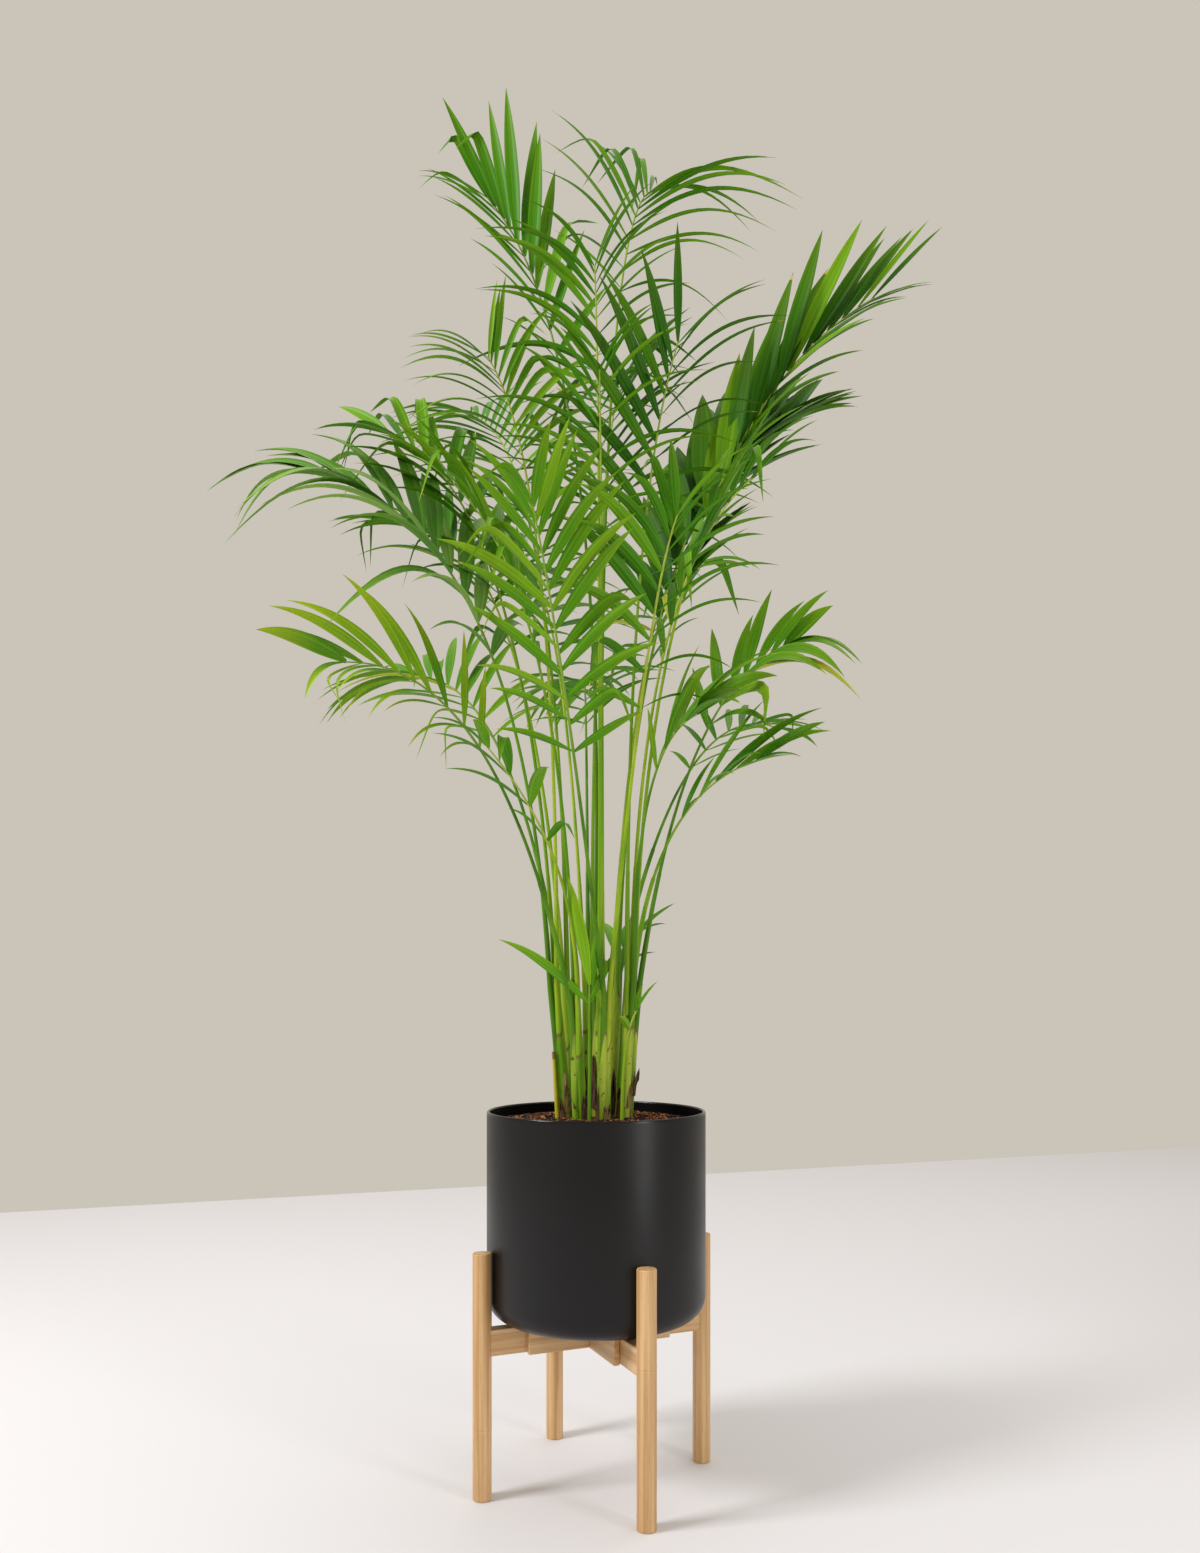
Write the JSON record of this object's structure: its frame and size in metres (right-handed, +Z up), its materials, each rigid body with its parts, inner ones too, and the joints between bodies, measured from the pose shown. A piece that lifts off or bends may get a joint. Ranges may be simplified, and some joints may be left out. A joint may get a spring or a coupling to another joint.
{
  "type": "potted cat palm on plant stand",
  "caption": "Clumping palm with arching feather fronds on slim green stalks, in a round matte black pot held by a four-legged bamboo stand.",
  "frame": {"origin": "on the floor, under the middle of the whole plant's bounding box", "axes": "+Z up from the stand's feet to the fronds' tips, -Y towards the viewer of the picture, +X to the viewer's right"},
  "size_m": [0.875, 0.7262, 1.6868],
  "materials": {
    "bamboo": "smooth clear-lacquered bamboo, satin",
    "pot": "matte black",
    "soil": "rough crumbly potting mix",
    "sheath": "satin green leaf sheath with brown scars",
    "leaf": "soft satin green"
  },
  "bodies": {
    "root": {"leg_1": "bamboo", "arm_1": "bamboo", "leg_2": "bamboo", "arm_2": "bamboo", "leg_3": "bamboo", "arm_3": "bamboo", "leg_4": "bamboo", "arm_4": "bamboo", "beam_lower": "bamboo", "beam_upper": "bamboo", "pot": "pot", "soil": "soil", "cane_centre": "sheath", "cane_right": "sheath", "cane_back_right": "sheath", "cane_back": "sheath", "cane_back_left": "sheath", "cane_left": "sheath", "cane_front_left": "sheath", "cane_front": "sheath", "cane_front_right": "sheath", "frond_01": "leaf", "frond_02": "leaf", "frond_03": "leaf", "frond_04": "leaf", "frond_05": "leaf", "frond_06": "leaf", "frond_07": "leaf", "frond_08": "leaf", "frond_09": "leaf", "frond_10": "leaf", "frond_11": "leaf", "frond_12": "leaf", "frond_13": "leaf", "frond_14": "leaf", "frond_15": "leaf", "frond_16": "leaf", "frond_17": "leaf", "frond_18": "leaf", "frond_19": "leaf", "frond_20": "leaf", "frond_21": "leaf", "frond_22": "leaf", "frond_23": "leaf", "frond_24": "leaf", "frond_25": "leaf", "frond_26": "leaf", "frond_27": "leaf", "frond_28": "leaf", "frond_29": "leaf", "frond_30": "leaf"}
  },
  "joints": []
}
